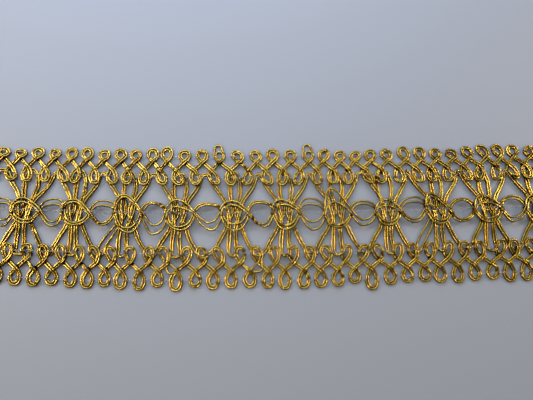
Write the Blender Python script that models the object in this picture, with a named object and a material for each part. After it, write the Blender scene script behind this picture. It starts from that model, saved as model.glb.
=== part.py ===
"""Gold metallic lace trim, about 41 mm wide: a flat cut length of twelve repeats.

The trim is a crocheted braid of doubled metallic yarn. A looped heading runs along each
edge. Legs cross between the headings, and in each repeat a chain of rings gathers them
into a knot. Here it is one openwork sheet: each pair of yarn ends is one strand of the
sheet, every opening between strands goes right through, and the knots and rings stand
higher than the rest.

X runs along the trim, Y across it towards its upper edge, and the underside is at Z = 0.
"""

import math
from collections import namedtuple

import bmesh
import bpy
from mathutils import Vector

MM = 0.001

# Driving dimensions, in millimetres
PITCH = 15.0
HALF_LENGTH = 90.0
STRAND_WIDTH = 1.15
STRAND_SPACING = 1.35
FLAT_HEIGHT = 1.3
RING_HEIGHT = 1.8
KNOT_HEIGHT = 2.3

# The trim lies in a slight bow: its ends are higher up than its middle
BOW_MIDDLE = -2.0
BOW_REACH = 80.0
BOW_RISE = 1.93
BOW_SKEW = -0.44

# One row for each repeat, left to right. knot_x and knot_y are the knot's place. The other
# columns are measured from the knot: how far its ring and the links after it reach up and
# down, where the nearest edge loops stand, and how far the upper edge loops lean.
Repeat = namedtuple(
    "Repeat",
    "knot_x knot_y ring_rise ring_drop link_rise link_drop top_loop top_lean bottom_loop",
)
REPEATS = (
    Repeat(-82.5, 0.0, 3.4, -3.6, 2.6, -4.0, 1.7, 0.0, -0.6),
    Repeat(-67.5, -0.1, 3.2, -3.4, 2.8, -3.9, 1.8, 0.0, -0.6),
    Repeat(-53.1, 0.0, 3.4, -3.6, 2.7, -3.4, 1.8, -0.1, -0.3),
    Repeat(-38.3, 0.0, 4.4, -4.4, 2.7, -4.6, 1.4, -0.2, -0.9),
    Repeat(-23.4, -0.2, 3.8, -4.1, 2.4, -3.7, 0.9, -0.3, -0.5),
    Repeat(-7.7, 0.2, 3.6, -4.2, 2.9, -3.5, 1.6, -0.7, -0.9),
    Repeat(7.3, 0.1, 3.8, -3.8, 3.2, -3.8, 1.9, 0.0, -0.8),
    Repeat(22.4, 0.1, 3.9, -3.8, 2.3, -3.0, 1.7, 0.4, -0.9),
    Repeat(37.4, 0.0, 3.0, -3.8, 3.0, -2.9, 1.2, -0.5, -0.8),
    Repeat(52.3, 0.3, 3.8, -3.8, 2.8, -3.4, 1.3, -0.8, -1.4),
    Repeat(67.4, -0.2, 3.6, -3.8, 2.6, -3.6, 1.7, -1.1, -1.1),
    Repeat(82.6, -0.3, 3.6, -4.2, 2.6, -3.6, 0.4, -0.2, -1.2),
)

# A heading's rows of points, from the trim's middle line outwards. The inner loops hang
# from the inner necks, the edge loops stand on the outer necks, and each inner loop leans
# by its own share of the three in a repeat.
Heading = namedtuple(
    "Heading", "inner_tip inner_neck outer_neck outer_tip inner_width outer_width leans"
)
TOP = Heading(8.6, 12.7, 15.5, 18.9, 2.5, 3.1, (-0.6, 0.7, 0.0))
BOTTOM = Heading(-10.0, -12.9, -16.6, -20.8, 2.3, 3.1, (0.1, -0.4, -0.9))
LOOPS_PER_REPEAT = 3

# The knot's ring, from the knot's middle
RING_LEFT = -4.1
RING_RIGHT = 4.0
RING_CROSSING_Y = 1.2
GATHER_LEFT = -2.3
GATHER_RIGHT = 1.9
GATHER_LOW_RIGHT = 1.4

# An edge loop's points, each as a share of its half width and of its reach from the neck
EDGE_LOOP_SHAPE = ((-0.95, 0.42), (-0.78, 0.84), (0.0, 1.0), (0.78, 0.84), (0.95, 0.42))

# An arc of an open link, each point as a share of its length and of its reach
LINK_SHAPE = ((0.22, 0.8), (0.5, 1.0), (0.78, 0.8))

# The legs between the knot and the headings: a bend of each, from the knot's middle. The
# bottom middle leg turns back at its foot, and the turn is measured from that foot.
TOP_LEFT_LEG = (-5.0, 7.6)
TOP_MIDDLE_LEG = (1.5, 7.4)
TOP_RIGHT_LEG = (5.1, 8.0)
BOTTOM_LEFT_LEG = (-4.7, -7.4)
BOTTOM_MIDDLE_LEG = (-1.6, -11.3)
BOTTOM_TURN = (0.9, -1.1)
BOTTOM_RIGHT_LEG = (3.5, -7.4)
ARCH_HEIGHT = 11.6


def repeat(number):
    """The row of a repeat. One past either end continues the last row at the pitch."""
    nearest = min(max(number, 0), len(REPEATS) - 1)
    row = REPEATS[nearest]
    return row._replace(knot_x=row.knot_x + (number - nearest) * PITCH)


def loop_x(heading, count):
    """Where the edge loop of this count stands along the trim, three to a repeat."""
    number, third = divmod(count, LOOPS_PER_REPEAT)
    share = third / LOOPS_PER_REPEAT
    ends = []
    for row in (repeat(number), repeat(number + 1)):
        offset = row.top_loop if heading is TOP else row.bottom_loop
        ends.append(row.knot_x + offset)
    return ends[0] * (1.0 - share) + ends[1] * share


def bow(x):
    """How far the trim's middle line lies above its straight course."""
    along = (x - BOW_MIDDLE) / BOW_REACH
    return BOW_RISE * along**2 + BOW_SKEW * along**3


class Network:
    """The strands' centre lines: points with a height, and the strands between them."""

    def __init__(self):
        self.heights = {}
        self.strands = set()
        self.filled = []

    def point(self, x, y, height=FLAT_HEIGHT):
        place = (round(x, 3), round(y, 3))
        self.heights[place] = max(height, self.heights.get(place, 0.0))
        return place

    def strand(self, *places):
        for start, end in zip(places, places[1:]):
            self.strands.add((start, end))

    def neighbours(self):
        """The points joined to each point, in order anticlockwise."""
        joined = {place: set() for place in self.heights}
        for start, end in self.strands:
            joined[start].add(end)
            joined[end].add(start)
        return {
            place: sorted(ends, key=lambda end: math.atan2(end[1] - place[1], end[0] - place[0]))
            for place, ends in joined.items()
        }


def outer_neck(network, heading, count):
    return network.point(loop_x(heading, count), heading.outer_neck)


def inner_neck(network, heading, count):
    middle = (loop_x(heading, count) + loop_x(heading, count + 1)) / 2.0
    return network.point(middle, heading.inner_neck)


def inner_loop(network, heading, count):
    """The left, end and right points of the inner loop after the edge loop of this count."""
    neck_x, neck_y = inner_neck(network, heading, count)
    tip_x = neck_x + heading.leans[count % LOOPS_PER_REPEAT]
    tip_y = heading.inner_tip
    side_x = (neck_x + tip_x) / 2.0
    side_y = (neck_y + tip_y) / 2.0
    half = heading.inner_width / 2.0
    return (
        network.point(side_x - half, side_y),
        network.point(tip_x, tip_y),
        network.point(side_x + half, side_y),
    )


def add_inner_loop(network, heading, count):
    neck = inner_neck(network, heading, count)
    left, tip, right = inner_loop(network, heading, count)
    network.strand(neck, left, tip, right, neck)


def add_edge_loop(network, heading, count):
    """A loop that stands on its outer neck: two sides, two shoulders and a tip."""
    neck = outer_neck(network, heading, count)
    row = repeat(count // LOOPS_PER_REPEAT)
    lean = row.top_lean if heading is TOP else 0.0
    reach = heading.outer_tip - heading.outer_neck
    half = heading.outer_width / 2.0
    loop = []
    for across, share in EDGE_LOOP_SHAPE:
        x = neck[0] + half * across + lean * share
        loop.append(network.point(x, neck[1] + reach * share))
    network.strand(neck, *loop, neck)


def within_trim(place):
    return abs(place[0]) < HALF_LENGTH


def cut_to_trim(network, place, inner):
    """The place itself, or where the strand to it from an inner place meets the cut end."""
    if within_trim(place):
        return network.point(*place)
    end = math.copysign(HALF_LENGTH, place[0])
    share = (end - inner[0]) / (place[0] - inner[0])
    return network.point(end, inner[1] + (place[1] - inner[1]) * share)


def add_heading(network, heading):
    """The zigzag of a heading with its loops, cut square at both ends of the trim."""
    aside = Network()
    before = None
    for count in range(-LOOPS_PER_REPEAT, LOOPS_PER_REPEAT * (len(REPEATS) + 1)):
        for neck_of, add_loop in ((outer_neck, add_edge_loop), (inner_neck, add_inner_loop)):
            neck = neck_of(aside, heading, count)
            if within_trim(neck):
                add_loop(network, heading, count)
                network.strand(cut_to_trim(network, before, neck), network.point(*neck))
            elif before and within_trim(before):
                network.strand(network.point(*before), cut_to_trim(network, neck, before))
            before = neck


def ring_points(network, number):
    """The ring round a knot: its two crossings, and where it crosses the gathered legs."""
    row = repeat(number)
    x, y = row.knot_x, row.knot_y
    return {
        "left": network.point(x + RING_LEFT, y + RING_CROSSING_Y, RING_HEIGHT),
        "right": network.point(x + RING_RIGHT, y + RING_CROSSING_Y, RING_HEIGHT),
        "top_left": network.point(x + GATHER_LEFT, y + row.ring_rise, RING_HEIGHT),
        "top_right": network.point(x + GATHER_RIGHT, y + row.ring_rise, RING_HEIGHT),
        "low_left": network.point(x + GATHER_LEFT, y + row.ring_drop, RING_HEIGHT),
        "low_right": network.point(x + GATHER_LOW_RIGHT, y + row.ring_drop, RING_HEIGHT),
    }


def add_ring(network, number):
    """A knot: the ring is filled with the gathered legs."""
    ring = ring_points(network, number)
    order = ("left", "low_left", "low_right", "right", "top_right", "top_left")
    corners = [ring[name] for name in order]
    network.strand(*corners, corners[0])
    network.filled.append(corners)


def add_link(network, number):
    """The open link between a knot's ring and the next, or half of it at a cut end."""
    row, after = repeat(number), repeat(number + 1)
    aside = Network()
    start = ring_points(aside, number)["right"]
    end = ring_points(aside, number + 1)["left"]
    middle_y = (row.knot_y + after.knot_y) / 2.0
    for reach in (row.link_rise, row.link_drop):
        arc = [start]
        for share, height in LINK_SHAPE:
            x = start[0] + (end[0] - start[0]) * share
            arc.append((x, middle_y + RING_CROSSING_Y + (reach - RING_CROSSING_Y) * height))
        arc.append(end)
        if number < 0:
            arc = [(-HALF_LENGTH, arc[2][1])] + arc[3:]
        elif number == len(REPEATS) - 1:
            arc = arc[:2] + [(HALF_LENGTH, arc[2][1])]
        network.strand(*(network.point(x, y, RING_HEIGHT) for x, y in arc))


def add_top_legs(network, number):
    """The legs above one knot, each to its inner loop, and the arch over to the next knot's."""
    row = repeat(number)
    ring = ring_points(network, number)
    first = LOOPS_PER_REPEAT * number
    left_loop = inner_loop(network, TOP, first - 2)
    middle_loop = inner_loop(network, TOP, first - 1)
    right_loop = inner_loop(network, TOP, first)
    left_bend, middle_bend, right_bend = (
        network.point(row.knot_x + x, row.knot_y + y)
        for x, y in (TOP_LEFT_LEG, TOP_MIDDLE_LEG, TOP_RIGHT_LEG)
    )
    network.strand(ring["top_left"], left_bend, left_loop[1])
    network.strand(ring["top_left"], middle_loop[1])
    network.strand(ring["top_right"], middle_bend, middle_loop[2])
    network.strand(ring["top_right"], right_bend, right_loop[2])

    next_loop = inner_loop(Network(), TOP, first + 1)
    arch_x = (right_loop[2][0] + next_loop[0][0]) / 2.0
    arch = network.point(min(arch_x, HALF_LENGTH), ARCH_HEIGHT)
    network.strand(right_loop[2], arch)
    if within_trim(next_loop[0]):
        network.strand(arch, network.point(*next_loop[0]))


def add_bottom_legs(network, number):
    """The legs below one knot. The middle two are one yarn that turns back at its foot."""
    row = repeat(number)
    ring = ring_points(network, number)
    first = LOOPS_PER_REPEAT * number
    middle_loop = inner_loop(network, BOTTOM, first)
    right_loop = inner_loop(network, BOTTOM, first + 1)
    aside = Network()
    left_loop = inner_loop(aside, BOTTOM, first - 2)
    loop_beside_foot = inner_loop(aside, BOTTOM, first - 1)

    foot_x = max(row.knot_x + BOTTOM_MIDDLE_LEG[0], loop_beside_foot[2][0] + STRAND_SPACING)
    foot = network.point(foot_x, row.knot_y + BOTTOM_MIDDLE_LEG[1])
    turn = network.point(foot[0] + BOTTOM_TURN[0], foot[1] + BOTTOM_TURN[1])
    network.strand(ring["low_left"], foot, turn, middle_loop[0])
    network.strand(ring["low_right"], middle_loop[0])

    left_bend, right_bend = (
        network.point(row.knot_x + x, row.knot_y + y)
        for x, y in (BOTTOM_LEFT_LEG, BOTTOM_RIGHT_LEG)
    )
    network.strand(ring["low_right"], right_bend, right_loop[0])
    network.strand(ring["low_left"], left_bend, cut_to_trim(network, left_loop[2], left_bend))


def lace_network():
    network = Network()
    add_heading(network, TOP)
    add_heading(network, BOTTOM)
    for number in range(len(REPEATS)):
        add_ring(network, number)
        add_top_legs(network, number)
        add_bottom_legs(network, number)
    for number in range(-1, len(REPEATS)):
        add_link(network, number)
    return network


def sector_corner(place, first, second):
    """Where the edges of two strands that leave a point meet, anticlockwise of the first."""
    start = math.atan2(first[1] - place[1], first[0] - place[0])
    end = math.atan2(second[1] - place[1], second[0] - place[0])
    sector = (end - start) % math.tau or math.tau
    reach = STRAND_WIDTH / 2.0 / math.sin(sector / 2.0)
    middle = start + sector / 2.0
    return place[0] + reach * math.cos(middle), place[1] + reach * math.sin(middle)


def free_end_corners(place, other):
    """The two corners of a strand's cut end: on its right and on its left, facing out."""
    angle = math.atan2(other[1] - place[1], other[0] - place[0])
    half = STRAND_WIDTH / 2.0
    return [
        (place[0] + half * math.cos(angle + turn), place[1] + half * math.sin(angle + turn))
        for turn in (math.pi / 2.0, -math.pi / 2.0)
    ]


def sheet_mesh(network):
    """The flat sheet: each strand is a strip whose edges are mitred where strands meet."""
    mesh = bmesh.new()
    height_layer = mesh.verts.layers.float.new("height")

    def vertex(x, y, height):
        made = mesh.verts.new((x * MM, (y + bow(x)) * MM, 0.0))
        made[height_layer] = height * MM
        return made

    centres = {}
    left_of = {}
    right_of = {}
    for place, ends in network.neighbours().items():
        height = network.heights[place]
        centres[place] = vertex(*place, height)
        if len(ends) == 1:
            left, right = free_end_corners(place, ends[0])
            left_of[place, ends[0]] = vertex(*left, height)
            right_of[place, ends[0]] = vertex(*right, height)
            continue
        for index, end in enumerate(ends):
            after = ends[(index + 1) % len(ends)]
            corner = vertex(*sector_corner(place, end, after), height)
            left_of[place, end] = corner
            right_of[place, after] = corner

    for start, end in sorted(network.strands):
        mesh.faces.new(
            (
                centres[start],
                right_of[start, end],
                left_of[end, start],
                centres[end],
                right_of[end, start],
                left_of[start, end],
            )
        )
    for corners in network.filled:
        inner = [left_of[a, b] for a, b in zip(corners, corners[1:] + corners[:1])]
        knot = mesh.faces.new(inner)
        middle = bmesh.ops.poke(mesh, faces=[knot])["verts"][0]
        middle[height_layer] = KNOT_HEIGHT * MM
    return mesh, height_layer


def lace_trim():
    """The sheet with its thickness: flat below, and as high at each point as it is set."""
    mesh, height_layer = sheet_mesh(lace_network())
    made = bmesh.ops.extrude_face_region(mesh, geom=mesh.faces[:])["geom"]
    for raised in (item for item in made if isinstance(item, bmesh.types.BMVert)):
        raised.co.z = raised[height_layer]
    bmesh.ops.recalc_face_normals(mesh, faces=mesh.faces[:])
    lowest = [min(vertex.co[axis] for vertex in mesh.verts) for axis in range(3)]
    highest = [max(vertex.co[axis] for vertex in mesh.verts) for axis in range(3)]
    middle = Vector(((lowest[0] + highest[0]) / 2.0, (lowest[1] + highest[1]) / 2.0, 0.0))
    bmesh.ops.translate(mesh, verts=mesh.verts[:], vec=-middle)
    data = bpy.data.meshes.new("lace_trim")
    mesh.to_mesh(data)
    mesh.free()
    data.materials.append(gold_yarn())
    return bpy.data.objects.new("lace_trim", data)


def gold_yarn():
    material = bpy.data.materials.new("gold_metallic_yarn")
    material.use_nodes = True
    shader = material.node_tree.nodes["Principled BSDF"]
    shader.inputs["Base Color"].default_value = (0.62, 0.42, 0.09, 1.0)
    shader.inputs["Roughness"].default_value = 0.35
    shader.inputs["Metallic"].default_value = 0.9
    return material


for old in list(bpy.data.objects):
    bpy.data.objects.remove(old, do_unlink=True)
parts = bpy.data.collections.new("metallic_lace_trim")
bpy.context.scene.collection.children.link(parts)
parts.objects.link(lace_trim())
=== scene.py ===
"""Gold metallic lace trim, lying flat: a crocheted braid of doubled metallic yarn.

The sections follow the way the braid is worked: the legs that run to and fro between the
edges, the looped headings along both edges, the chain of rings that gathers the legs, and
the clear nylon stitches that hold the loops. Courses are in millimetres along the straight
trim, with x along it, y across it and z up. One function sets them on the trim's bow.
"""

import math

import bmesh
import bpy
from mathutils import Euler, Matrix, Vector, kdtree, noise
from mathutils.geometry import interpolate_bezier


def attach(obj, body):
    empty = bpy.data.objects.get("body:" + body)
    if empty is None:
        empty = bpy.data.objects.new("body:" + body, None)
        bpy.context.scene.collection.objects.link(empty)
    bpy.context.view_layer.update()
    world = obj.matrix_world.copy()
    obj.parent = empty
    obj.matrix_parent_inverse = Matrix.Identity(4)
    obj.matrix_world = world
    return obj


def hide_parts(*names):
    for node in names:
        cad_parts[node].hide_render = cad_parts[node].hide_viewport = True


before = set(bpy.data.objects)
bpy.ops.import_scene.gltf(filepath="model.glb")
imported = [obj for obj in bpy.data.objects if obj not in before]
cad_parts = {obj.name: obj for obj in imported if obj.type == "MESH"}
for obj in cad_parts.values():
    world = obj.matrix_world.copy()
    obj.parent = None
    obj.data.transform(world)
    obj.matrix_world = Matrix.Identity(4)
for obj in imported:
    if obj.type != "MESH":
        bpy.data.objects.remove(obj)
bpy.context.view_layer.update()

# The camera: 115 mm above the trim, tilted a little towards its upper edge. It takes the
# photo's frame of 533 by 400 pixels with a wide lens, whose focal length equals the frame's
# height. Its place is in mm, and its turn in degrees.
MM = 0.001
CAMERA_PLACE = (-2.05, -22.44, 114.8)
CAMERA_TURN = (12.898, -1.656, -0.793)
FRAME_WIDTH = 533.0
FRAME_HEIGHT = 400.0
SENSOR_WIDTH = 36.0
NEAREST = 10.0

camera_data = bpy.data.cameras.new("camera")
camera_data.sensor_width = SENSOR_WIDTH
camera_data.lens = SENSOR_WIDTH * (FRAME_HEIGHT / FRAME_WIDTH)
camera_data.clip_start = NEAREST * MM
camera = bpy.data.objects.new("camera", camera_data)
camera.location = [value * MM for value in CAMERA_PLACE]
camera.rotation_euler = Euler([math.radians(angle) for angle in CAMERA_TURN])
bpy.context.scene.collection.objects.link(camera)
bpy.context.scene.camera = camera

# The legs: two doubled yarns that zigzag between the headings. In each repeat they fan in
# to the knot from four inner loops above and four below, and cross there in two bundles.
# The yarn is a gimp of gold film wound round a thread core, 0.6 mm thick.
HALF_LENGTH = 90.0
YARN = 0.60
RESTING = YARN / 2.0
SIDES = 8

# The twist of the yarn's two plies: the length of one turn, and how deep the lobes are
PLIES = 2.0
TWIST_LENGTH = 3.0
TWIST_DEPTH = 0.07

# The bow of the trim on the table: where it is lowest, how far it rises over its reach, and
# how uneven its two sides are. Then the middle of the bowed trim's box.
BOW_MIDDLE = -2.0
BOW_REACH = 80.0
BOW_RISE = 1.93
BOW_SKEW = -0.44
BOX_MIDDLE = (0.051, 0.348)

# The small drift of each yarn from its course: how far, and over what length. It starts
# from a fixed number, so that each run lays the yarns alike. Each yarn has its own number.
WANDER = 0.18
WANDER_LENGTH = 4.0
DRIFT_START = 1
FIRST_LEG_DRIFT = 10.0
SECOND_LEG_DRIFT = 40.0
END_DRIFT = 7.0
noise.seed_set(DRIFT_START)

# How finely a course is drawn. Then how the heights settle: over how many points on each
# side the usual height is taken, how near along itself a yarn can't touch itself, how often
# the yarns are moved apart, and how often they are smoothed as well.
COURSE_STEP = 0.35
STEADY_REACH = 2
OWN_REACH = 7
SETTLING_ROUNDS = 14
SMOOTHING_ROUNDS = 12

# The middle of each knot
KNOTS = (
    (-82.5, 0.0),
    (-67.5, -0.1),
    (-53.1, 0.0),
    (-38.3, 0.0),
    (-23.4, -0.2),
    (-7.7, 0.2),
    (7.3, 0.1),
    (22.4, 0.1),
    (37.4, 0.0),
    (52.3, 0.3),
    (67.4, -0.2),
    (82.6, -0.3),
)

# In each repeat the eight legs stand a little off their usual places. For each knot: how far
# to the right the four upper and the four lower ones are, left to right, 7 mm from the knot.
LEG_SHIFTS = (
    (0.3, 0.2, 0.1, -0.2, 0.2, 0.1, -0.2, 0.1),
    (0.9, 0.8, 1.1, 0.9, 0.3, 0.0, 0.1, 0.5),
    (1.4, 1.2, 0.5, -0.1, 0.4, 0.5, 0.2, 0.2),
    (0.3, 0.0, 0.1, -0.3, -0.9, -0.7, -0.5, -0.1),
    (0.5, -0.3, 0.0, -0.3, -0.2, -0.5, -0.4, -0.4),
    (-0.5, 0.5, 0.0, 0.3, 0.6, 0.0, 0.0, -0.2),
    (-0.3, 0.0, 0.2, 0.4, 0.2, 0.0, 0.2, 0.1),
    (-0.3, 0.1, 0.1, 0.3, -0.4, -0.1, 0.1, 0.5),
    (1.2, -1.1, -0.1, 0.2, 0.1, 0.4, 0.0, 0.0),
    (-1.0, 0.6, 0.2, 0.9, -0.2, 0.3, 0.2, 0.0),
    (-0.4, 0.0, -0.6, 0.4, 0.0, -0.1, 0.3, 0.2),
    (-0.6, -0.2, 0.0, 0.2, -0.3, 0.0, 0.1, 0.0),
)
FULL_SHIFT = 7.0
UP_LEFT, UP_MID_LEFT, UP_MID_RIGHT, UP_RIGHT = 0, 1, 2, 3
LOW_LEFT, LOW_MID_LEFT, LOW_MID_RIGHT, LOW_RIGHT = 4, 5, 6, 7

# The course of the first leg yarn in one repeat, left to right: down from the upper edge,
# through the left bundle, round its foot, up the right bundle and back to the upper edge.
# Each point is its leg, x and y from the knot, the height, and half the gap between the ends.
FIRST_LEG = (
    (UP_LEFT, -7.5, 11.7, 0.45, 0.30),
    (UP_LEFT, -6.9, 10.8, 0.8, 0.32),
    (UP_LEFT, -5.3, 7.9, 0.85, 0.34),
    (UP_LEFT, -3.6, 5.5, 0.7, 0.34),
    (UP_LEFT, -2.6, 3.8, 0.95, 0.32),
    (UP_LEFT, -2.2, 1.4, 1.3, 0.30),
    (LOW_MID_LEFT, -1.6, -1.0, 1.2, 0.30),
    (LOW_MID_LEFT, -1.3, -4.2, 0.95, 0.32),
    (LOW_MID_LEFT, -1.5, -7.4, 0.5, 0.36),
    (LOW_MID_LEFT, -1.6, -10.4, 0.31, 0.34),
    (LOW_MID_LEFT, -1.4, -11.8, 0.31, 0.20),
    (LOW_MID_LEFT, -0.5, -12.4, 0.31, 0.14),
    (LOW_MID_RIGHT, 0.5, -11.8, 0.31, 0.20),
    (LOW_MID_RIGHT, 0.6, -10.4, 0.31, 0.34),
    (LOW_MID_RIGHT, 0.4, -7.6, 0.5, 0.36),
    (LOW_MID_RIGHT, 0.4, -5.0, 0.95, 0.34),
    (LOW_MID_RIGHT, 1.0, -2.2, 1.2, 0.30),
    (UP_RIGHT, 1.6, 0.3, 1.2, 0.30),
    (UP_RIGHT, 2.2, 3.2, 1.0, 0.32),
    (UP_RIGHT, 3.8, 5.8, 0.6, 0.34),
    (UP_RIGHT, 5.1, 8.0, 0.45, 0.34),
    (UP_RIGHT, 5.9, 10.3, 0.35, 0.32),
    (UP_RIGHT, 6.4, 11.5, 0.35, 0.30),
)

# The second leg yarn in one repeat: up from the lower edge, through the left bundle, over
# behind the middle inner loop, down the right bundle and round behind the loop beside it.
SECOND_LEG = (
    (LOW_LEFT, -6.1, -10.4, 0.31, 0.32),
    (LOW_LEFT, -4.6, -7.6, 0.45, 0.34),
    (LOW_LEFT, -3.0, -5.0, 0.7, 0.32),
    (LOW_LEFT, -2.0, -2.6, 0.6, 0.30),
    (UP_MID_LEFT, -0.9, -0.6, 0.6, 0.30),
    (UP_MID_LEFT, -0.7, 1.4, 0.6, 0.30),
    (UP_MID_LEFT, -1.2, 3.8, 0.6, 0.32),
    (UP_MID_LEFT, -1.7, 6.0, 0.4, 0.36),
    (UP_MID_LEFT, -1.8, 8.6, 0.31, 0.34),
    (UP_MID_LEFT, -1.6, 11.0, 0.31, 0.32),
    (UP_MID_LEFT, -0.6, 12.2, 0.31, 0.30),
    (UP_MID_RIGHT, 0.6, 11.7, 0.31, 0.32),
    (UP_MID_RIGHT, 1.4, 9.6, 0.31, 0.34),
    (UP_MID_RIGHT, 1.6, 7.4, 0.4, 0.36),
    (UP_MID_RIGHT, 1.2, 4.0, 0.6, 0.34),
    (UP_MID_RIGHT, 0.6, 1.6, 0.6, 0.30),
    (LOW_RIGHT, 0.7, -0.8, 0.6, 0.30),
    (LOW_RIGHT, 1.9, -3.6, 0.7, 0.32),
    (LOW_RIGHT, 3.4, -7.3, 0.45, 0.34),
    (LOW_RIGHT, 4.9, -10.0, 0.31, 0.34),
    (LOW_RIGHT, 6.1, -11.7, 0.31, 0.32),
    (LOW_RIGHT, 7.5, -12.1, 0.31, 0.32),
    (LOW_RIGHT, 8.5, -11.4, 0.31, 0.32),
)

# Lower left legs whose two ends spread apart, by their knot's place in the row
SPREAD_LEGS = {3: 0.45, 9: 0.55}

# Where the yarns come from and go to, past the ends at which they are cut
FIRST_LEG_START = ((-104.0, 5.0, 0.5, 0.3), (-98.0, 5.0, 0.5, 0.3))
FIRST_LEG_END = ((98.0, 5.0, 0.5, 0.3), (104.0, 5.0, 0.5, 0.3))
SECOND_LEG_START = ((-104.0, -12.0, 0.31, 0.3), (-97.0, -11.8, 0.31, 0.3))
SECOND_LEG_END = ((98.0, -5.0, 0.5, 0.3), (104.0, -5.0, 0.5, 0.3))

# The points of all yarns that are laid so far
laid = []


def place(point):
    """A point of the straight trim, in mm, set on the trim's bow and in the model's metres."""
    along = (point.x - BOW_MIDDLE) / BOW_REACH
    bow = BOW_RISE * along**2 + BOW_SKEW * along**3
    return MM * Vector((point.x - BOX_MIDDLE[0], point.y + bow - BOX_MIDDLE[1], point.z))


def smooth_course(points):
    """A smooth line through the points, in short even steps."""
    course = []
    for before, start, end, after in zip(points, points[1:], points[2:], points[3:]):
        leave = start + (end - before) / 6.0
        arrive = end - (after - start) / 6.0
        steps = max(2, round((end - start).length / COURSE_STEP)) + 1
        course += interpolate_bezier(start, leave, arrive, end, steps)[:-1]
    return course


def yarn_end(points, drift_number):
    """One yarn's course through its points, with its own small drift, cut square at the ends."""
    course = smooth_course(points)
    for point in course:
        spot = Vector((point.x, point.y, drift_number))
        drift = WANDER * noise.noise_vector(spot / WANDER_LENGTH)
        point.x += drift.x
        point.y += drift.y
    while abs(course[0].x) > HALF_LENGTH:
        course.pop(0)
    while abs(course[-1].x) > HALF_LENGTH:
        course.pop()
    return course


def doubled(points, drift_number):
    """The courses of a pair's two yarn ends, side by side. A point's last value is half the
    gap between them."""
    courses = []
    for side in (-1.0, 1.0):
        ends = []
        for before, point, after in zip(points, points[1:], points[2:]):
            way = Vector((after[0] - before[0], after[1] - before[1], 0.0)).normalized()
            across = Vector((-way.y, way.x, 0.0))
            ends.append(Vector(point[:3]) + side * point[3] * across)
        courses.append(yarn_end(ends, drift_number + END_DRIFT * side))
    return courses


def settle(courses):
    """Lifts the yarns over each other and over those laid before, where they meet."""
    owners = []
    heights = []
    steady = []
    places = []
    for number, course in enumerate(courses):
        for index, point in enumerate(course):
            near = course[max(0, index - STEADY_REACH) : index + STEADY_REACH + 1]
            owners.append((number, index))
            places.append((point.x, point.y, 0.0))
            heights.append(point.z)
            steady.append(sum(other.z for other in near) / len(near))
    own = len(places)
    for point in laid:
        places.append((point.x, point.y, 0.0))
        heights.append(point.z)
        steady.append(point.z)
    tree = kdtree.KDTree(len(places))
    for index, spot in enumerate(places):
        tree.insert(spot, index)
    tree.balance()
    contacts = []
    for index in range(own):
        number, along = owners[index]
        for _, other, distance in tree.find_range(places[index], YARN):
            if other < own:
                other_number, other_along = owners[other]
                beside = number == other_number and abs(along - other_along) < OWN_REACH
                if other <= index or beside:
                    continue
            apart = math.sqrt(max(0.0, YARN**2 - distance**2))
            above = steady[index] >= steady[other]
            contacts.append((index, other, apart if above else -apart))
    for turn in range(SETTLING_ROUNDS):
        for index, other, apart in contacts:
            lack = apart - (heights[index] - heights[other])
            if lack * apart <= 0.0:
                continue
            if other < own:
                heights[index] += lack / 2.0
                heights[other] -= lack / 2.0
            else:
                heights[index] += lack
        if turn < SMOOTHING_ROUNDS:
            eased = heights[:own]
            for index in range(1, own - 1):
                if owners[index - 1][0] == owners[index][0] == owners[index + 1][0]:
                    around = (heights[index - 1] + heights[index + 1]) / 2.0
                    eased[index] = (heights[index] + around) / 2.0
            heights[:own] = eased
        for index in range(own):
            heights[index] = max(heights[index], RESTING)
    for index in range(own):
        number, along = owners[index]
        courses[number][along].z = heights[index]
    for course in courses:
        laid.extend(course)


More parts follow.
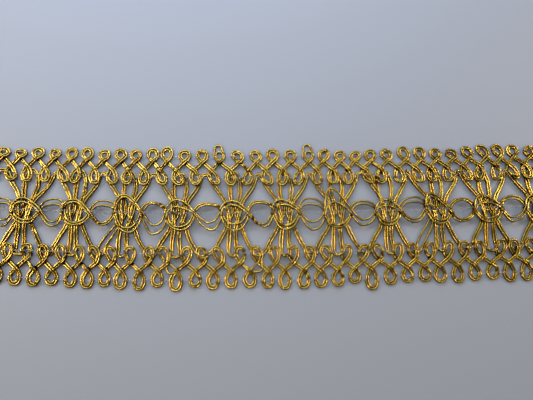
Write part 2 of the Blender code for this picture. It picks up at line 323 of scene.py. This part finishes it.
def yarn_piece(name, courses, material, thickness=YARN, sides=SIDES, lobes=TWIST_DEPTH):
    """One mesh of round yarns, lobed by their twist. Its UVs run round and along each yarn."""
    # A bevelled curve is four-sided, with two more sides for each step of its resolution
    bevel_steps = (sides - 4) // 2
    whole = bmesh.new()
    for course in courses:
        line = bpy.data.curves.new(name, "CURVE")
        line.dimensions = "3D"
        line.bevel_depth = thickness / 2.0 * MM
        line.bevel_resolution = bevel_steps
        line.use_fill_caps = True
        spline = line.splines.new("POLY")
        spline.points.add(len(course) - 1)
        centres = [place(point) for point in course]
        for point, centre in zip(spline.points, centres):
            point.co = (*centre, 1.0)
        holder = bpy.data.objects.new(name, line)
        bpy.context.scene.collection.objects.link(holder)
        depsgraph = bpy.context.evaluated_depsgraph_get()
        tube = bpy.data.meshes.new_from_object(
            holder.evaluated_get(depsgraph), preserve_all_data_layers=True, depsgraph=depsgraph
        )
        length = sum((b - a).length for a, b in zip(centres, centres[1:])) / MM
        for corner in tube.uv_layers[0].data:
            corner.uv.y *= length
        passed = 0.0
        for ring in range(1, len(centres) - 1):
            passed += (centres[ring] - centres[ring - 1]).length / MM
            for side in range(sides):
                vertex = tube.vertices[ring * sides + side]
                around = PLIES * math.tau * side / sides
                twist = math.tau * PLIES * passed / TWIST_LENGTH
                lobe = 1.0 + lobes * math.cos(around - twist)
                vertex.co = centres[ring] + (vertex.co - centres[ring]) * lobe
        one = bmesh.new()
        one.from_mesh(tube)
        bmesh.ops.remove_doubles(one, verts=one.verts, dist=0.001 * MM)
        if one.calc_volume(signed=True) < 0.0:
            bmesh.ops.reverse_faces(one, faces=one.faces)
        one.to_mesh(tube)
        one.free()
        whole.from_mesh(tube)
        bpy.data.objects.remove(holder)
        bpy.data.curves.remove(line)
        bpy.data.meshes.remove(tube)
    for face in whole.faces:
        face.smooth = True
    mesh = bpy.data.meshes.new(name)
    whole.to_mesh(mesh)
    whole.free()
    # Painted light: how far each point faces up. The gold turns it into a painted highlight on
    # top and painted shade on the flanks.
    painted_light_from_above = mesh.attributes.new("painted_light_from_above", "FLOAT", "POINT")
    painted_light_from_above.data.foreach_set("value", [normal.vector.z for normal in mesh.vertex_normals])
    mesh.materials.append(material)
    piece = bpy.data.objects.new(name, mesh)
    bpy.context.scene.collection.objects.link(piece)
    return piece


def linear(code):
    """A colour given as an sRGB hex code, in the linear values that a shader takes."""
    shares = [int(code[start : start + 2], 16) / 255.0 for start in (1, 3, 5)]
    return [s / 12.92 if s <= 0.04045 else ((s + 0.055) / 1.055) ** 2.4 for s in shares] + [1.0]


def add_node(material, kind, inputs=(), **settings):
    """A node with its settings, and with its inputs set to a value or linked to a socket."""
    node = material.node_tree.nodes.new(kind)
    for name, value in settings.items():
        setattr(node, name, value)
    for name, value in dict(inputs).items():
        if isinstance(value, bpy.types.NodeSocket):
            material.node_tree.links.new(value, node.inputs[name])
        else:
            node.inputs[name].default_value = value
    return node


# The film: the length of one turn, the size of its creases and how much finer they are
# round the yarn than along it, in mm. Then its relief, how strongly the creases lighten and
# darken it at random, and the brightness at which it is brown, plain gold and bright. That
# brightness includes painted light: painted highlight where the film faces up, painted shade
# where it faces sideways and down.
FILM_TURN = 0.65
CREASE_SIZE = 0.9
CREASES_AROUND = 3.6
CREASES_ALONG = 0.45
RELIEF = 0.15
RELIEF_DEPTH = 0.03
CREASE_CONTRAST = 1.5
BROWN_AT = 1.24
BRIGHT_AT = 1.86
GOLD_SHARE = 0.48


def gold_film_gimp():
    """Gold lacquered film wound round a brown thread core: a satin metal whose tone varies at
    random along its creases. Its colour also holds painted light: a painted highlight where it
    faces up, and painted shade, brown, on its flanks and where it goes down between the yarns.
    The turns and creases are drawn about twice as coarse as the real ones, so that they show."""
    material = bpy.data.materials.new("gold_film_gimp")
    material.use_nodes = True
    shader = material.node_tree.nodes["Principled BSDF"]
    shader.inputs["Metallic"].default_value = 1.0
    shader.inputs["Specular Tint"].default_value = linear("#b88328")
    around_and_along = add_node(material, "ShaderNodeUVMap", uv_map="UVMap")
    split = add_node(
        material, "ShaderNodeSeparateXYZ", {"Vector": around_and_along.outputs["UV"]}
    )
    turns = add_node(
        material,
        "ShaderNodeMath",
        {0: split.outputs["Y"], 1: 1.0 / FILM_TURN, 2: split.outputs["X"]},
        operation="MULTIPLY_ADD",
    )
    film_edge = add_node(
        material, "ShaderNodeMath", {0: turns.outputs[0]}, operation="FRACT"
    )
    where = add_node(material, "ShaderNodeTexCoord")
    streaks = add_node(
        material,
        "ShaderNodeVectorMath",
        {
            0: around_and_along.outputs["UV"],
            1: (CREASES_AROUND * MM, CREASES_ALONG * MM, 1.0),
            2: where.outputs["Object"],
        },
        operation="MULTIPLY_ADD",
    )
    creases = add_node(
        material,
        "ShaderNodeTexNoise",
        {
            "Vector": streaks.outputs["Vector"],
            "Scale": 1.0 / (CREASE_SIZE * MM),
            "Detail": 2.0,
            "Roughness": 0.5,
        },
    )
    uneven = add_node(
        material,
        "ShaderNodeMath",
        {0: creases.outputs["Fac"], 1: film_edge.outputs[0]},
        operation="ADD",
    )
    relief = add_node(
        material,
        "ShaderNodeBump",
        {"Strength": RELIEF, "Distance": RELIEF_DEPTH * MM, "Height": uneven.outputs[0]},
    )
    painted_light_from_above = add_node(material, "ShaderNodeAttribute", attribute_name="painted_light_from_above")
    # Painted highlight and shade: the film is brighter where it faces up and brown where it
    # faces away, on top of the creases' random tone.
    painted_light_and_creases = add_node(
        material,
        "ShaderNodeMath",
        {0: creases.outputs["Fac"], 1: CREASE_CONTRAST, 2: painted_light_from_above.outputs["Fac"]},
        operation="MULTIPLY_ADD",
    )
    film = add_node(
        material,
        "ShaderNodeMapRange",
        {"Value": painted_light_and_creases.outputs[0], "From Min": BROWN_AT, "From Max": BRIGHT_AT},
    )
    colour = add_node(material, "ShaderNodeValToRGB", {"Fac": film.outputs["Result"]})
    # The stops: brown for painted shade and dark creases, plain gold, and bright for painted
    # highlight and light creases.
    stops = colour.color_ramp.elements
    stops[0].color = linear("#281500")
    stops[1].color = linear("#ffe578")
    stops.new(GOLD_SHARE).color = linear("#b1851c")
    roughness = add_node(
        material,
        "ShaderNodeMapRange",
        {"Value": creases.outputs["Fac"], "To Min": 0.15, "To Max": 0.25},
    )
    material.node_tree.links.new(colour.outputs["Color"], shader.inputs["Base Color"])
    material.node_tree.links.new(roughness.outputs["Result"], shader.inputs["Roughness"])
    material.node_tree.links.new(relief.outputs["Normal"], shader.inputs["Normal"])
    return material


gold = gold_film_gimp()

first_leg = list(FIRST_LEG_START)
second_leg = list(SECOND_LEG_START)
for number, ((knot_x, knot_y), shifts) in enumerate(zip(KNOTS, LEG_SHIFTS)):
    for course, shape in ((first_leg, FIRST_LEG), (second_leg, SECOND_LEG)):
        for leg, x, y, z, gap in shape:
            out = min(1.0, abs(y) / FULL_SHIFT)
            if leg == LOW_LEFT:
                gap += SPREAD_LEGS.get(number, 0.0) * out
            course.append((knot_x + x + shifts[leg] * out, knot_y + y, z, gap))
first_leg += FIRST_LEG_END
second_leg += SECOND_LEG_END
leg_courses = doubled(first_leg, FIRST_LEG_DRIFT) + doubled(second_leg, SECOND_LEG_DRIFT)
settle(leg_courses)
legs = yarn_piece("legs", leg_courses, gold)
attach(legs, "root")
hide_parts("lace_trim")

# The two headings: along each edge one doubled yarn zigzags between an outer and an inner
# row of loops, and crosses itself at the neck of each loop. The loops stand on their necks
# and are about 5 mm apart, each a little different.
PITCH = 15.0
LOOP_PITCH = PITCH / 3.0
UPPER_INNER_NECK = 13.2
UPPER_OUTER_NECK = 15.7
LOWER_INNER_NECK = -14.2
LOWER_OUTER_NECK = -16.3
OUTER_HALF_WIDTH = 1.35
INNER_HALF_WIDTH = 1.2
UPPER_DRIFT = 70.0
LOWER_DRIFT = 110.0

# Half the gap between the two ends of a pair, and the height of a pair that crosses another
SIDE_BY_SIDE = 0.30
ON_TOP = 0.95

# How high the loops lie at their start, tip and end: the inner ones on the legs, the outer
# ones on the table. Then how much further than its middle an inner loop's tip leans.
INNER_HEIGHTS = (0.6, 1.0, 0.9)
OUTER_HEIGHTS = (0.31, 0.35, 0.6)
INNER_LEAN = 0.3

# A loop's points from its neck round its tip, as shares of its half width and of its reach
LOOP_SHAPE = (
    (-0.42, 0.15),
    (-0.90, 0.42),
    (-0.98, 0.68),
    (-0.62, 0.93),
    (0.0, 1.0),
    (0.62, 0.93),
    (0.98, 0.68),
    (0.90, 0.42),
    (0.42, 0.15),
)

# In two of the upper edge loops, by their place in the row, the outer yarn end is pulled up
# into a small round eye. Its points are from the middle of the loop and from the loop's tip.
PULLED_LOOPS = (16, 21)
EYE_START = 18.2
EYE = (
    (-1.40, -1.0),
    (-1.42, -0.2),
    (-1.20, 0.6),
    (-0.70, 1.15),
    (-0.1, 1.25),
    (0.5, 0.9),
    (0.88, 0.3),
    (1.12, -0.5),
)

# The upper edge loops, three to a row: where the neck is along the trim, how far the loop
# leans, and how high its tip is.
UPPER_LOOPS = (
    (-90.8, 0.0, 19.2),
    (-85.8, 0.0, 19.4),
    (-80.8, 0.0, 19.3),
    (-75.7, 0.0, 18.7),
    (-70.8, 0.1, 18.5),
    (-65.8, 0.1, 19.2),
    (-60.8, 0.1, 19.0),
    (-56.0, 0.2, 19.6),
    (-51.3, -0.1, 19.8),
    (-46.3, 0.0, 19.3),
    (-41.3, -0.3, 19.6),
    (-36.9, -0.3, 19.6),
    (-31.9, -0.2, 20.1),
    (-27.8, -0.2, 20.5),
    (-22.5, -0.1, 19.6),
    (-17.1, -0.4, 19.8),
    (-12.1, -0.3, 19.8),
    (-6.1, -1.2, 19.5),
    (-1.0, -0.6, 19.5),
    (3.8, -0.2, 20.0),
    (9.2, -0.2, 19.6),
    (14.6, -0.2, 19.9),
    (18.9, 0.4, 19.8),
    (24.0, 0.2, 19.1),
    (28.3, 0.8, 19.0),
    (33.4, 0.0, 19.4),
    (38.6, -0.6, 19.5),
    (44.1, -0.8, 20.0),
    (48.7, -0.4, 19.8),
    (53.6, -0.4, 19.2),
    (58.9, -1.1, 18.9),
    (63.8, -0.9, 19.6),
    (69.1, -1.8, 19.9),
    (73.5, -1.1, 19.9),
    (77.5, -0.1, 19.6),
    (82.8, -0.1, 19.1),
    (88.0, -0.3, 19.4),
    (93.0, 0.0, 19.4),
)

# The upper inner loops that hang left of, over and right of each knot: where along the
# trim, from the knot
UPPER_INNER_LOOPS = (
    (-5.8, -0.8, 4.4),
    (-4.9, -0.6, 4.6),
    (-4.1, -1.2, 4.6),
    (-5.0, -0.9, 4.0),
    (-5.4, -0.7, 4.3),
    (-5.8, -1.1, 3.7),
    (-5.1, -0.9, 3.8),
    (-5.6, -0.8, 3.7),
    (-4.9, -1.3, 4.2),
    (-4.8, -0.8, 4.1),
    (-5.1, -1.5, 3.8),
    (-5.9, -1.9, 3.2),
)
UPPER_INNER_TIP = 8.8

# The lower edge loops: where the loop is along the trim, and how low its tip is
LOWER_LOOPS = (
    (-93.1, -21.3),
    (-88.1, -21.3),
    (-83.1, -21.2),
    (-78.2, -21.4),
    (-73.2, -21.1),
    (-68.2, -21.2),
    (-63.1, -21.3),
    (-58.2, -20.9),
    (-53.0, -21.3),
    (-48.4, -21.5),
    (-43.7, -20.9),
    (-39.3, -21.6),
    (-34.1, -21.8),
    (-29.1, -21.0),
    (-23.9, -22.0),
    (-18.6, -21.0),
    (-13.6, -21.5),
    (-8.6, -21.3),
    (-3.3, -21.1),
    (1.8, -21.4),
    (6.5, -21.8),
    (11.9, -21.6),
    (16.7, -21.5),
    (21.5, -21.3),
    (26.3, -20.6),
    (31.2, -22.4),
    (36.6, -21.2),
    (41.5, -20.8),
    (46.6, -20.7),
    (50.9, -21.2),
    (56.1, -21.4),
    (61.0, -21.0),
    (66.2, -20.9),
    (71.2, -21.7),
    (76.1, -21.7),
    (81.3, -21.4),
    (86.3, -21.5),
    (91.3, -21.3),
)

# The same for the lower inner loops beside each knot: left, right of the middle, and right
LOWER_INNER_LOOPS = (
    (-3.8, 1.9, 6.4),
    (-3.3, 2.0, 6.4),
    (-3.1, 1.9, 6.1),
    (-4.2, 1.4, 6.7),
    (-4.2, 2.3, 6.5),
    (-4.7, 1.6, 6.2),
    (-3.7, 1.8, 6.4),
    (-4.1, 2.0, 6.9),
    (-4.3, 1.8, 5.9),
    (-3.8, 1.8, 6.2),
    (-4.4, 2.1, 5.9),
    (-4.4, 2.1, 5.9),
)
LOWER_INNER_TIP = -9.9

# In two places of the lower heading one yarn end hangs out of its pair in a slack arc:
# where its middle would lie, and how far it hangs along and down
SLACK_ENDS = (((-25.2, -15.4), (-0.7, -1.4)), ((-1.7, -15.3), (1.4, -1.1)))
SLACK_STEPS = 7


def loop(neck, tip, half_width, heights):
    """A loop from its neck round its tip, left side first, without the neck itself."""
    start_height, tip_height, end_height = heights
    course = []
    for across, share in LOOP_SHAPE:
        x = neck[0] + (tip[0] - neck[0]) * share + half_width * across
        y = neck[1] + (tip[1] - neck[1]) * share
        if across <= 0.0:
            height = start_height + (tip_height - start_height) * share
        else:
            height = end_height + (tip_height - end_height) * share
        course.append((x, y, height, SIDE_BY_SIDE))
    return course


def heading(edge_loops, inner_centres, inner_tip, inner_neck_y, outer_neck_y):
    """A heading's course from its right end to its left, out of the two rows of loops."""
    outward = 1.0 if outer_neck_y > 0.0 else -1.0
    course = []
    for right, left in zip(edge_loops[::-1], edge_loops[-2::-1]):
        middle = (right[0] + left[0]) / 2.0
        centre = min(inner_centres, key=lambda x: abs(x - middle))
        outer_neck = (left[0], outer_neck_y)
        inner_neck = (middle, inner_neck_y)
        course.append((*inner_neck, RESTING, SIDE_BY_SIDE))
        tip = (centre + (centre - middle) * INNER_LEAN, inner_tip)
        course += loop(inner_neck, tip, INNER_HALF_WIDTH, INNER_HEIGHTS)
        course.append((*inner_neck, ON_TOP, SIDE_BY_SIDE))
        tip = (left[0] + left[1], left[2] - outward * RESTING - outward * SIDE_BY_SIDE)
        course.append((*outer_neck, RESTING, SIDE_BY_SIDE))
        course += loop(outer_neck, tip, OUTER_HALF_WIDTH, OUTER_HEIGHTS)
        course.append((*outer_neck, ON_TOP, SIDE_BY_SIDE))
    return course


upper_centres = [
    knot_x + offset
    for (knot_x, _), offsets in zip(KNOTS, UPPER_INNER_LOOPS)
    for offset in offsets
]
lower_centres = [
    knot_x + offset
    for (knot_x, _), offsets in zip(KNOTS, LOWER_INNER_LOOPS)
    for offset in offsets
]
upper = heading(UPPER_LOOPS, upper_centres, UPPER_INNER_TIP, UPPER_INNER_NECK, UPPER_OUTER_NECK)
lower_loops = [(x, 0.0, tip) for x, tip in LOWER_LOOPS]
lower = heading(lower_loops, lower_centres, LOWER_INNER_TIP, LOWER_INNER_NECK, LOWER_OUTER_NECK)
upper_inside, upper_outside = doubled(upper, UPPER_DRIFT)
for number in PULLED_LOOPS:
    neck_x, lean, tip_y = UPPER_LOOPS[number]
    raised = [
        index
        for index, point in enumerate(upper_outside)
        if abs(point.x - neck_x - lean) < LOOP_PITCH / 2.0 and point.y > EYE_START
    ]
    start, end = raised[0], raised[-1]
    eye = [Vector((neck_x + lean + x, tip_y + y, RESTING)) for x, y in EYE]
    way_round = upper_outside[start - 2 : start] + eye + upper_outside[end + 1 : end + 3]
    upper_outside[start - 1 : end + 2] = smooth_course(way_round) + [upper_outside[end + 1]]
lower_inside, lower_outside = doubled(lower, LOWER_DRIFT)
for spot, hang in SLACK_ENDS:
    gaps = [(point.xy - Vector(spot)).length for point in lower_outside]
    middle = gaps.index(min(gaps))
    for step in range(-SLACK_STEPS, SLACK_STEPS + 1):
        share = math.cos(math.pi / 2.0 * step / SLACK_STEPS) ** 2
        lower_outside[middle + step].xy += share * Vector(hang)
heading_courses = [upper_inside, upper_outside, lower_inside, lower_outside]
settle(heading_courses)
headings = yarn_piece("edge_headings", heading_courses, gold)
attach(headings, "root")
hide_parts("lace_trim")

# The chain of rings: two doubled yarns that cross left and right of each knot. Round the
# knot they make a ring over the legs, and between knots an open link that stands clear of
# the surface, with its two ends spread apart.
RING_HEIGHT = 1.5
LINK_HEIGHT = 1.25
UPPER_CROSSING = 1.7
LOWER_CROSSING = 1.1

# Half the gap between the two ends of a pair where it crosses the other, along and across
APART_ALONG = 0.26
APART_ACROSS = 0.15
CHAIN_DRIFTS = (150.0, 160.0, 170.0, 180.0)

# The points of each ring, from its knot: where the pairs cross left and right of it, then the
# tops of its upper half's outer and inner end, and of its lower half's inner and outer end
RINGS = (
    ((-3.8, 0.6), (3.8, 0.2), (-0.4, 3.6), (-0.5, 2.4), (0.2, -3.2), (0.3, -4.1)),
    ((-3.2, 0.1), (4.4, 0.2), (-0.3, 3.6), (-0.4, 2.3), (1.1, -2.9), (0.6, -3.7)),
    ((-3.4, 0.9), (4.1, -0.4), (-0.2, 3.5), (-0.1, 2.7), (0.1, -3.2), (-0.1, -3.9)),
    ((-3.5, 1.3), (4.0, 0.2), (-1.2, 5.3), (-0.9, 4.5), (0.0, -4.5), (0.6, -5.7)),
    ((-3.8, 0.2), (4.2, 0.3), (-0.5, 4.1), (-1.0, 2.0), (0.0, -3.8), (0.3, -4.7)),
    ((-3.8, 0.7), (3.9, 0.1), (-0.4, 3.4), (-0.4, 2.2), (-0.1, -3.4), (0.2, -5.1)),
    ((-3.8, 1.3), (3.7, 0.6), (-1.4, 3.7), (-0.6, 2.3), (-0.2, -3.8), (-0.2, -4.9)),
    ((-3.8, 0.2), (3.8, 0.0), (-1.7, 6.9), (-0.8, 2.8), (-0.5, -4.0), (-0.3, -4.6)),
    ((-3.8, 0.6), (3.2, 0.1), (-0.1, 3.2), (-0.5, 1.5), (-0.3, -3.4), (-0.4, -4.3)),
    ((-3.9, 1.0), (3.1, -0.7), (-2.3, 4.6), (-2.1, 3.7), (0.1, -3.7), (0.0, -4.6)),
    ((-4.5, 0.1), (3.4, 0.1), (-1.8, 4.0), (-0.6, 1.6), (-1.0, -3.1), (-0.2, -4.1)),
    ((-4.3, -0.1), (3.5, -0.7), (-1.6, 3.5), (-1.2, 2.3), (-1.3, -3.5), (-1.2, -4.7)),
)

# The same for the link right of each ring: its upper outer and inner end, and its lower inner
# and outer end, at their turning points
LINKS = (
    ((8.7, 3.1), (9.2, 1.8), (9.3, -3.2), (9.2, -4.9)),
    ((8.4, 3.6), (8.6, 2.0), (8.0, -3.1), (8.1, -4.3)),
    ((7.7, 3.4), (7.8, 2.0), (7.6, -3.1), (7.7, -3.7)),
    ((7.2, 3.2), (7.5, 2.7), (7.5, -3.5), (7.3, -6.1)),
    ((7.8, 3.2), (8.1, 2.7), (8.2, -2.5), (9.1, -4.6)),
    ((6.9, 3.4), (7.2, 2.9), (7.9, -3.5), (8.5, -4.1)),
    ((7.1, 4.1), (6.7, 2.4), (7.4, -2.8), (7.6, -5.1)),
    ((7.0, 3.0), (7.2, 2.2), (7.2, -2.5), (7.1, -4.1)),
    ((7.8, 3.9), (7.4, 2.5), (6.9, -2.7), (7.1, -3.6)),
    ((7.2, 2.7), (7.1, 2.1), (6.4, -3.6), (6.4, -4.1)),
    ((7.3, 3.4), (7.2, 2.8), (6.3, -2.9), (6.5, -4.1)),
    ((7.3, 3.4), (7.2, 2.8), (7.3, -2.9), (7.3, -4.1)),
)

# How an arc rises from a crossing to its turning point, as shares of its reach along and up:
# round, or slanted where the upper pair runs straight on through the right-hand crossing
ROUND = ((0.12, 0.42), (0.48, 0.86))
SLANTED = ((0.27, 0.38), (0.64, 0.82))


def arc(start, rise, top, fall, end, height):
    """A yarn's way from one crossing over its turning point to just before the next."""
    up = [
        (start[0] + (top[0] - start[0]) * x, start[1] + (top[1] - start[1]) * y, height)
        for x, y in rise
    ]
    down = [
        (end[0] + (top[0] - end[0]) * x, end[1] + (top[1] - end[1]) * y, height)
        for x, y in reversed(fall)
    ]
    return up + [(*top, height)] + down


def chain_yarn(above, outer, drift_number):
    """One yarn of the chain: over or under the knots, and on the ring's out- or inside."""
    course = []
    side = 1.0 if above else -1.0
    away = 1.0 if outer else -1.0
    at_right = SLANTED if above else ROUND
    crossing_height = UPPER_CROSSING if above else LOWER_CROSSING
    ring_top = (2 if outer else 3) if above else (5 if outer else 4)
    link_top = (2 if outer else 3) if above else (1 if outer else 0)
    for number in range(-1, len(KNOTS) + 1):
        nearest = min(max(number, 0), len(KNOTS) - 1)
        following = min(nearest + 1, len(KNOTS) - 1)
        knot = Vector(KNOTS[nearest]) + Vector(((number - nearest) * PITCH, 0.0))
        next_knot = Vector(KNOTS[following]) + Vector(((number + 1 - following) * PITCH, 0.0))
        apart = Vector((APART_ALONG, side * APART_ACROSS)) * away
        left = knot + Vector(RINGS[nearest][0]) + Vector((-apart.x, apart.y))
        right = knot + Vector(RINGS[nearest][1]) + apart
        next_left = next_knot + Vector(RINGS[following][0]) + Vector((-apart.x, apart.y))
        course.append((*left, crossing_height))
        ring = knot + Vector(RINGS[nearest][ring_top])
        course += arc(left, ROUND, ring, at_right, right, RING_HEIGHT)
        course.append((*right, crossing_height))
        link = knot + Vector(LINKS[nearest][link_top])
        course += arc(right, at_right, link, ROUND, next_left, LINK_HEIGHT)
    return yarn_end([Vector(point) for point in course], drift_number)


chain_ends = ((True, True), (True, False), (False, True), (False, False))
ring_courses = [
    chain_yarn(above, outer, drift_number)
    for (above, outer), drift_number in zip(chain_ends, CHAIN_DRIFTS)
]
settle(ring_courses)
rings = yarn_piece("ring_chain", ring_courses, gold)
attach(rings, "root")
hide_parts("lace_trim")

# The stitches: five chains of clear nylon monofilament, 0.12 mm thick. Each is worked along
# the trim over all yarns, holds the loops and legs at their places, and barely shows.
NYLON = 0.12
NYLON_SIDES = 6
NYLON_ROWS = (17.4, 10.8, 0.1, -11.5, -18.9)
NYLON_STEP = 0.6
STITCH_LENGTH = 2.5
STITCH_HALF_WIDTH = 0.26

# How far a row strays, over what length, and how steeply a strand comes down from a yarn
ROW_DRIFT = 0.15
ROW_DRIFT_LENGTH = 9.0
STEEPEST = 0.35

# The size of the faint bloom on the nylon, in mm
BLOOM_SIZE = 2.0


def clear_nylon():
    """Clear drawn nylon monofilament: glassy, with a faint bloom that catches the light."""
    material = bpy.data.materials.new("clear_nylon_monofilament")
    material.use_nodes = True
    shader = material.node_tree.nodes["Principled BSDF"]
    shader.inputs["Base Color"].default_value = linear("#f2f3f5")
    shader.inputs["IOR"].default_value = 1.53
    shader.inputs["Transmission Weight"].default_value = 0.85
    bloom = add_node(material, "ShaderNodeTexNoise", {"Scale": 1.0 / (BLOOM_SIZE * MM)})
    where = add_node(material, "ShaderNodeTexCoord")
    material.node_tree.links.new(where.outputs["Object"], bloom.inputs["Vector"])
    roughness = add_node(
        material,
        "ShaderNodeMapRange",
        {"Value": bloom.outputs["Fac"], "To Min": 0.15, "To Max": 0.35},
    )
    material.node_tree.links.new(roughness.outputs["Result"], shader.inputs["Roughness"])
    return material


def nylon_strand(row, side, carried, tree):
    """One strand of a chain: it weaves across the row, and lies on the yarns that it meets."""
    course = []
    reach = (YARN + NYLON) / 2.0
    for step in range(round(2.0 * HALF_LENGTH / NYLON_STEP) + 1):
        x = -HALF_LENGTH + step * NYLON_STEP
        sway = side * STITCH_HALF_WIDTH * math.cos(math.pi * x / STITCH_LENGTH)
        y = row + sway + ROW_DRIFT * noise.noise(Vector((x / ROW_DRIFT_LENGTH, row, 0.0)))
        z = NYLON / 2.0
        for _, index, distance in tree.find_range((x, y, 0.0), reach):
            rise = math.sqrt(max(0.0, reach**2 - distance**2))
            z = max(z, carried[index].z + rise)
        course.append(Vector((x, y, z)))
    for _ in range(2):
        for index in range(1, len(course)):
            lowest = course[index - 1].z - STEEPEST * NYLON_STEP
            course[index].z = max(course[index].z, lowest)
        course.reverse()
    return course


nylon_tree = kdtree.KDTree(len(laid))
for index, point in enumerate(laid):
    nylon_tree.insert((point.x, point.y, 0.0), index)
nylon_tree.balance()
nylon_courses = [
    nylon_strand(row, side, laid, nylon_tree) for row in NYLON_ROWS for side in (-1.0, 1.0)
]
stitches = yarn_piece(
    "nylon_stitches", nylon_courses, clear_nylon(), NYLON, NYLON_SIDES, lobes=0.0
)
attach(stitches, "root")
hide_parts("lace_trim")

# The table: a pale laminate, plain, smooth and faintly blue. It is matt, so the trim throws
# soft shadows on it and isn't mirrored. It reaches past the view from every side.
FLOOR_SIZE = 3.0
floor_shape = bmesh.new()
bmesh.ops.create_grid(floor_shape, x_segments=1, y_segments=1, size=FLOOR_SIZE / 2.0)
floor_mesh = bpy.data.meshes.new("floor")
floor_shape.to_mesh(floor_mesh)
floor_shape.free()
laminate = bpy.data.materials.new("pale_matt_laminate")
laminate.use_nodes = True
laminate_shader = laminate.node_tree.nodes["Principled BSDF"]
laminate_shader.inputs["Base Color"].default_value = linear("#a3aab5")
laminate_shader.inputs["Roughness"].default_value = 0.6
floor_mesh.materials.append(laminate)
floor = bpy.data.objects.new("floor", floor_mesh)
bpy.context.scene.collection.objects.link(floor)

# The light: a wide cool softbox close beyond the upper edge, a small warm one overhead and
# one at each side, which draw the bright lines along the yarns, and an even room light. For
# each softbox: its name, place, width, depth, power and colour.
SOFTBOXES = (
    ("window_softbox", (-0.04, 0.17, 0.13), 0.32, 0.14, 0.46, "#d4e3ff"),
    ("overhead_softbox", (-0.05, 0.0, 0.34), 0.06, 0.06, 0.19, "#ffeed8"),
    ("left_softbox", (-0.32, 0.05, 0.16), 0.08, 0.08, 0.42, "#ffeed8"),
    ("right_softbox", (0.30, 0.10, 0.16), 0.08, 0.08, 0.28, "#ffeed8"),
)
ROOM_LIGHT = 0.32


def softbox(name, spot, width, depth, power, colour):
    """A soft rectangular light that faces the trim and isn't seen itself."""
    light = bpy.data.lights.new(name, "AREA")
    light.shape = "RECTANGLE"
    light.size = width
    light.size_y = depth
    light.energy = power
    light.color = linear(colour)[:3]
    lamp = bpy.data.objects.new(name, light)
    lamp.location = spot
    lamp.rotation_euler = (-Vector(spot)).to_track_quat("-Z", "Y").to_euler()
    lamp.visible_camera = False
    bpy.context.scene.collection.objects.link(lamp)


for box in SOFTBOXES:
    softbox(*box)
world = bpy.data.worlds.new("room")
world.use_nodes = True
world.node_tree.nodes["Background"].inputs["Color"].default_value = linear("#e6e2d8")
world.node_tree.nodes["Background"].inputs["Strength"].default_value = ROOM_LIGHT
bpy.context.scene.world = world
bpy.context.scene.view_settings.view_transform = "Standard"
